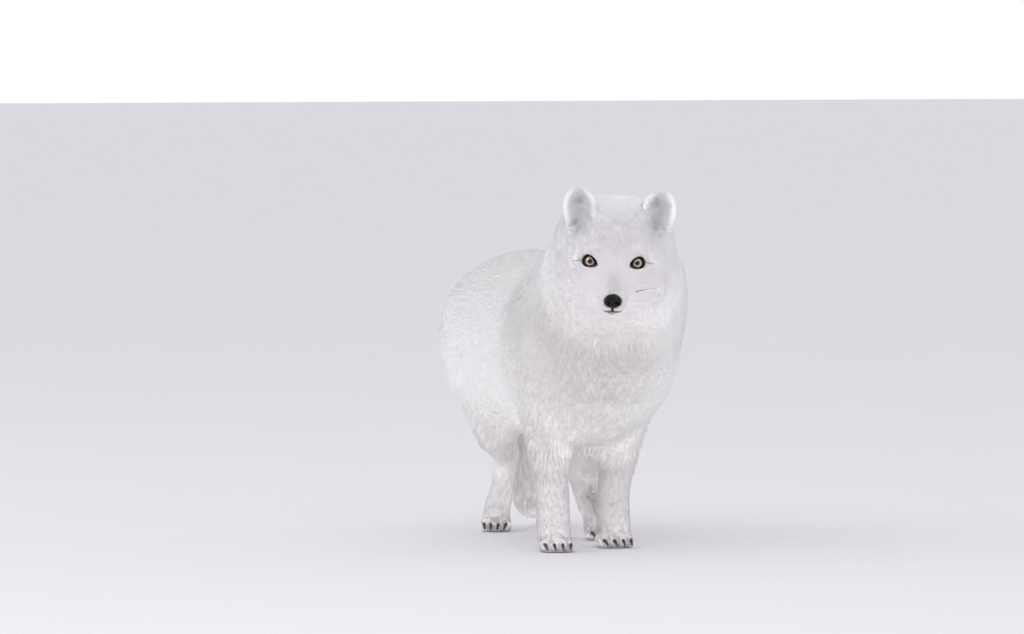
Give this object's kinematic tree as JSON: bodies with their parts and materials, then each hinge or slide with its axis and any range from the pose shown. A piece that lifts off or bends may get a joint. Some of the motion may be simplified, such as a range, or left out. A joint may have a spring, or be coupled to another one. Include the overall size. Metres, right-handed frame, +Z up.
{
  "type": "arctic fox",
  "caption": "Life-size arctic fox in thick white winter coat, standing with its head turned to one side and its tail hanging.",
  "frame": {"origin": "bottom centre of the box round the fox, on the floor that it stands on", "axes": "+Z up, the fox looks towards -Y and its left side is at +X"},
  "size_m": [0.2246, 0.7216, 0.4394],
  "materials": {
    "coat": "matte",
    "nose_leather": "satin",
    "cornea": "gloss",
    "horn": "satin"
  },
  "bodies": {
    "root": {"head": "coat", "lower_jaw": "coat", "neck": "coat", "trunk": "coat", "tail": "coat", "leg_front_left": "coat", "leg_front_right": "coat", "leg_hind_left": "coat", "leg_hind_right": "coat", "paw_front_left": "coat", "paw_front_right": "coat", "paw_hind_left": "coat", "paw_hind_right": "coat", "ear_left": "coat", "ear_right": "coat", "nose": "nose_leather", "eye_left": "cornea", "eye_right": "cornea", "claw_front_left_1": "horn", "claw_front_left_2": "horn", "claw_front_left_3": "horn", "claw_front_left_4": "horn", "claw_front_right_1": "horn", "claw_front_right_2": "horn", "claw_front_right_3": "horn", "claw_front_right_4": "horn", "claw_hind_left_1": "horn", "claw_hind_left_2": "horn", "claw_hind_left_3": "horn", "claw_hind_left_4": "horn", "claw_hind_right_1": "horn", "claw_hind_right_2": "horn", "claw_hind_right_3": "horn", "claw_hind_right_4": "horn"}
  },
  "joints": []
}
